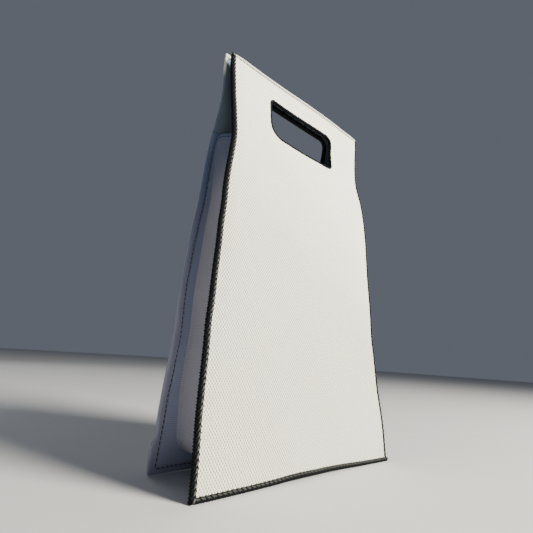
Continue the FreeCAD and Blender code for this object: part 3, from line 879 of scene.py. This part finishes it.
def flange(name, side, body, nd, inset):
    """Turned edge of the gusset, sewn flat on the inside of the margin."""
    inner, outer = [], []
    w = hw_front if side == "front" else hw_back
    zc = G_FLOOR + G_RAD
    xc = float(leg_x(zc)) - G_RAD
    for (x, z), (nx, nz) in zip(gp, gn):
        xr = float(front_root(x, z)) if side == "front" else x
        inner.append((xr - nx * 0.8, z - nz * 0.8))
        if z > zc:
            outer.append((math.copysign(float(w(z)) - inset, x), z))
        elif abs(x) < xc:
            outer.append((x, inset))
        else:
            t = math.acos(max(-1.0, min(1.0, (abs(x) - xc) / G_RAD))) / (math.pi / 2)
            ex = float(w(inset)) - inset
            L1, L2 = ex - xc, zc - inset
            q = (1 - t) * (L1 + L2)
            outer.append((math.copysign(xc + q, x), inset) if q < L1 else
                         (math.copysign(float(w(inset + q - L1)) - inset, x), inset + q - L1))
    f = np.linspace(0, 1, 8)[None, :, None]
    XZ = np.array(inner)[:, None, :] * (1 - f) + np.array(outer)[:, None, :] * f
    o = shell(name, XZ, on_cloth(side, XZ[..., 0], XZ[..., 1], D_LIN + 0.02), on_cloth(side, XZ[..., 0], XZ[..., 1], D_ALL), None, 40)
    paint(o, M_FLG_PAINTED_SHADE)
    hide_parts(nd)
    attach(o, body)
    return o


flange("front_flange_cloth", "front", "front_panel", "gusset_front_flange", 0.5)
flange("back_flange_cloth", "back", "back_panel", "gusset_back_flange", 0.5)

# the back cloth turns over its own edge and is caught by the lockstitch
turn = [(0.0, 0.10), (-0.28, 0.45), (-0.36, 1.0), (-0.25, D_ALL - 0.25), (0.15, D_ALL + 0.2), (1.1, D_ALL + 0.36), (2.4, D_ALL + 0.30),
        (SEAM, D_ALL + 0.10), (SEAM + 0.9, D_ALL + 0.22), (SEAM + 1.2, D_ALL + 0.05)]
rim_low = channel("back_edge_turn", "back", ("L", "B", "R"), turn, ZK - 4.3, 2.0, M_RIM_PAINTED_SHADE)
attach(rim_low, "back_panel")
turn_up = [(e * (0.26 if e > 1.0 else 1.0), d - (T_FLG if d > 1.2 else 0.0)) for e, d in turn]
rim_up = channel("back_flap_edge_turn", "back", ("L", "R"), turn_up, H - 1.0, 2.0, M_CORNER_LOWER_PAINTED_SHADE, z_bot=ZK - 4.6, miter=False)
bend(rim_up, "back")


# folded hems at the open tops of the gusset, each with its row of stitches
hem_st = Tubes()
Wh = np.linspace(0.0, 1.0, 34)[None, :]
for side_name, sx in (("left", -1.0), ("right", 1.0)):
    zz = np.array([G_TOP - 4.6, G_TOP - 4.4, G_TOP - 2.6, G_TOP - 1.0, G_TOP - 0.3, G_TOP + 0.05, G_TOP - 0.3, G_TOP - 1.0, G_TOP - 4.4])
    oo = np.array([0.05, 0.5, 0.62, 0.7, 0.5, -0.4, -1.3, -1.5, -1.5])
    hp = np.stack([sx * leg_x(zz), zz], -1)
    hn = np.tile([[sx, 0.0]], (len(zz), 1))
    G = gusset_surface(hp, hn, Wh, oo[:, None])
    m = G.shape[1]
    faces = [(i * m + j, i * m + j + 1, (i + 1) * m + j + 1, (i + 1) * m + j) for i in range(len(zz) - 1) for j in range(m - 1)]
    o = new_object("gusset_hem_cloth_" + side_name, G.reshape(-1, 3), faces, True, 60)
    sc = np.cumsum([0] + list(np.hypot(np.diff(oo), np.diff(zz))))
    uvh = np.stack([np.broadcast_to(Wh[0] * 24, G.shape[:2]), np.broadcast_to(sc[:, None], G.shape[:2])], -1)
    put_uv(o, uvh.reshape(-1, 2) * MM)
    sol = o.modifiers.new("thick", "SOLIDIFY")
    sol.thickness = 0.00035
    sol.offset = 0.0
    with bpy.context.temp_override(object=o, active_object=o, selected_objects=[o]):
        bpy.ops.object.modifier_apply(modifier="thick")
    fix_normals(o)
    paint(o, M_RIM_PAINTED_SHADE)
    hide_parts("gusset_hem_" + side_name)
    gusset_bend(o)
    for out in (0.72, -1.62):
        def place(a, h, out=out, sx=sx):
            z = G_TOP - 3.1
            hh = out + (h if out > 0 else -h)
            return gusset_surface(np.array([[sx * float(leg_x(z)), z]]), np.array([[sx, 0.0]]), np.array([[a / 24.0]]), hh)[0, 0]
        stitches(hem_st, place, 1.0, 23.5, 3.2, 2.5, 0.24, 0.16)
hs = paint(hem_st.make("gusset_hem_lockstitch"), M_LOCK)
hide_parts("gusset_hem_stitching")
gusset_bend(hs)


# ------------------------------------------------------------------ bound edges of the hand hole
def hole_loop(n, grow=0.0):
    """Points (x, z, outward x, outward z) round the hole at even spacing."""
    a, b = HOLE_W / 2 + grow, HOLE_H / 2 + grow
    segs = []
    for sx, sz, a0 in ((1, 1, 0), (-1, 1, 90), (-1, -1, 180), (1, -1, 270)):
        r = HOLE_R[sx, sz] + grow
        cx, cz = sx * (a - r), sz * (b - r)
        for k in range(25):
            t = math.radians(a0 + 90 * k / 24)
            segs.append((cx + r * math.cos(t), cz + r * math.sin(t), math.cos(t), math.sin(t)))
    segs.append(segs[0])
    q = np.array(segs)
    s = np.concatenate([[0], np.cumsum(np.hypot(*np.diff(q[:, :2], axis=0).T))])
    t = np.linspace(0, s[-1], n, endpoint=False)
    out = np.stack([np.interp(t, s, q[:, k]) for k in range(4)], -1)
    l = np.hypot(out[:, 2], out[:, 3])
    out[:, 2] /= l
    out[:, 3] /= l
    return out


for side, body, nd in (("front", "front_flap", "front_handle_edging"), ("back", "back_flap", "back_handle_edging")):
    t = Tubes()
    loop = hole_loop(300)
    for k, (x, z, nx, nz) in enumerate(loop):
        j = rng.normal(0, 1, 4)
        x0, z0 = HOLE_X + x, HOLE_Z + z

        def Q(out_, d, x0=x0, z0=z0, nx=nx, nz=nz, tw=0.0):
            return on_cloth(side, x0 + nx * out_ - nz * tw, z0 + nz * out_ + nx * tw, d)

        f = 1.05 + 0.14 * j[0]
        fi = f if side == "front" else 3.1 + 0.3 * j[0]
        pts = [Q(f, 0.05, tw=-0.25), Q(f * 0.6, -0.22, tw=-0.1), Q(0.05, -0.28), Q(-0.42, 0.1, tw=0.05), Q(-0.5, 0.7, tw=0.1),
               Q(-0.42, D_LIN - 0.1, tw=0.15), Q(0.05, D_LIN + 0.25, tw=0.2), Q(fi * 0.7, D_LIN + 0.2, tw=0.3), Q(fi + 0.2, D_LIN, tw=0.35)]
        t.tube(curve_pts(pts, 13), 0.36 + 0.02 * j[1], 5)
        if k % 9 == 4:                                   # loose fibres
            pts = [Q(-0.4, 0.6), Q(-0.9, 0.5 + 0.3 * j[2], tw=0.3 * j[3]), Q(-1.25, 0.3 + 0.5 * j[2], tw=0.7 * j[3])]
            t.tube(curve_pts(pts, 5), np.linspace(0.11, 0.04, 5), 4)
    o = paint(t.make(side + "_hole_edging"), M_THR)
    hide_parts(nd)
    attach(o, body)


# ------------------------------------------------------------------ hook-and-loop closure
lo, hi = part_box("hook_strip")
SX, SZ0, SZ1 = hi.x / MM, lo.z / MM, hi.z / MM
for side, body, nd in (("front", "front_flap", "hook_strip"), ("back", "back_flap", "loop_strip")):
    xs = np.linspace(-SX, SX, 113)
    zs = np.linspace(SZ0, SZ1, 13)
    X, Z = np.meshgrid(xs, zs)
    edge = np.minimum(np.minimum(X + SX, SX - X), np.minimum(Z - SZ0, SZ1 - Z))
    rise = 0.55 * smooth(0, 1.1, edge)
    A = on_cloth(side, X, Z, D_LIN + 0.35 + rise)
    Bq = on_cloth(side, X, Z, D_LIN + 0.02)
    tape = shell(nd + "_tape", np.stack([X, Z], -1), A, Bq, None, 50)
    paint(tape, M_TAPE)
    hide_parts(nd)
    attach(tape, body)
    t = Tubes()
    if side == "front":
        for zz in np.arange(SZ0 + 1.3, SZ1 - 1.0, 0.95):
            for xx in np.arange(-SX + 1.5, SX - 1.2, 1.25):
                b0 = on_cloth(side, xx, zz, D_LIN + 0.85)
                pts = [b0, b0 + [0, 0.45, 0], b0 + [0.12, 0.75, 0], b0 + [0.36, 0.72, 0.02], b0 + [0.42, 0.5, 0.03]]
                t.tube(np.array(pts), 0.085, 4)
        nm = "closure_hooks"
    else:
        for q in range(760):
            xx, zz = rng.uniform(-SX + 1.5, SX - 1.5), rng.uniform(SZ0 + 1.0, SZ1 - 1.0)
            b0 = on_cloth(side, xx, zz, D_LIN + 0.8)
            th = rng.uniform(0, math.pi)
            w_ = rng.uniform(0.35, 0.6)
            c, s_ = math.cos(th) * w_, math.sin(th) * w_
            pts = [b0 + [-c, 0, -s_], b0 + [-c * 0.9, -0.4, -s_ * 0.9], b0 + [0, -0.75, 0], b0 + [c * 0.9, -0.4, s_ * 0.9], b0 + [c, 0, s_]]
            t.tube(np.array(pts), 0.055, 3)
        nm = "closure_loops"
    o = paint(t.make(nm), M_TAPE)
    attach(o, body)
    st = Tubes()
    for zz in (SZ0 + 1.2, SZ1 - 1.2):
        def place_out(a, h, zz=zz, side=side):
            return on_cloth(side, a, zz, -h)

        def place_in(a, h, zz=zz, side=side):
            return on_cloth(side, a, zz, D_LIN + 0.85 + h)
        stitches(st, place_out, -SX + 1.5, SX - 1.5, 3.0, 2.4, 0.13, 0.02)
        stitches(st, place_in, -SX + 1.5, SX - 1.5, 3.0, 2.4, 0.16, 0.1)
    o = paint(st.make(nd + "_lockstitch"), M_TAPE)
    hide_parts(nd + "_stitching")
    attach(o, body)

# ------------------------------------------------------------------ sheet areas and lengths, worked out and not used further
zq = np.linspace(0, H, 400)
area_f = float(area_under(2 * hw_front(zq), zq) - HOLE_W * HOLE_H) * 1e-6
area_b = float(area_under(2 * hw_back(zq), zq) - HOLE_W * HOLE_H) * 1e-6
len_f = float(np.interp(H, *arc("front"))) * MM
len_b = float(np.interp(H, *arc("back"))) * MM
for o, ar, ln in ((front_cloth, area_f, len_f), (front_lin, area_f, len_f), (back_cloth, area_b, len_b), (back_lin, area_b, len_b)):
    min(ar, 2 * HB * MM * ln)

# ------------------------------------------------------------------ floor, light, camera
bpy.ops.mesh.primitive_plane_add(size=12, location=(0, 0, -0.0016))
floor = bpy.context.object
floor.name = "floor"
fm, nt, bs_ = principled("floor")
fo = node(nt, "ShaderNodeTexCoord").outputs["Object"]
fn = noise(nt, fo, 30.0, 4.0, 0.5)
nt.links.new(mix_color(nt, fn, (0.50, 0.50, 0.495), (0.54, 0.54, 0.535)), bs_.inputs["Base Color"])
bs_.inputs["Roughness"].default_value = 0.7
floor.data.materials.append(fm)


def area_light(name, loc, aim, size, power, color=(1, 1, 1)):
    l = bpy.data.lights.new(name, "AREA")
    l.shape = "DISK"
    l.size = size
    l.energy = power
    l.color = color
    o = bpy.data.objects.new(name, l)
    o.location = loc
    o.rotation_euler = (Vector(aim) - Vector(loc)).to_track_quat("-Z", "Y").to_euler()
    scene.collection.objects.link(o)


area_light("key", (0.62, -1.25, 0.95), (0, 0, 0.14), 0.6, 104, (1.0, 0.957, 0.86))
area_light("fill", (-1.3, -0.2, 0.7), (0, 0, 0.14), 1.2, 0.3, (0.80, 0.87, 1.0))
area_light("rim", (-0.2, 1.3, 0.9), (0, 0, 0.18), 0.9, 4, (0.95, 0.97, 1.0))
world = bpy.data.worlds.new("studio")
scene.world = world
world.use_nodes = True
world.node_tree.nodes["Background"].inputs[0].default_value = (0.74, 0.82, 1.0, 1)
world.node_tree.nodes["Background"].inputs[1].default_value = 0.155

F, CX, CY = 361.5296782670689, 265.65226277290066, 282.771759126238
CAM = (-199.0549864864057, -202.39002660085228, 73.60192948544824)
R = [[0.7499344998063651, -0.6584368424094251, 0.0637116202751351],
     [0.1839833613696177, 0.1150941698331524, -0.9761677390743632],
     [0.6354119677337796, 0.7437837431863669, 0.2074545122005373]]
cam = bpy.data.cameras.new("camera")
cam.sensor_width = 36.0
cam.lens = 36.0 * F / 533.0
cam.shift_x = (266.5 - CX) / 533.0
cam.shift_y = (CY - 266.5) / 533.0
cam.clip_start = 0.01
co = bpy.data.objects.new("camera", cam)
scene.collection.objects.link(co)
m = Matrix.Identity(4)
for i in range(3):
    m[i][0] = R[0][i]
    m[i][1] = -R[1][i]
    m[i][2] = -R[2][i]
    m[i][3] = CAM[i] * MM
co.matrix_world = m
scene.camera = co
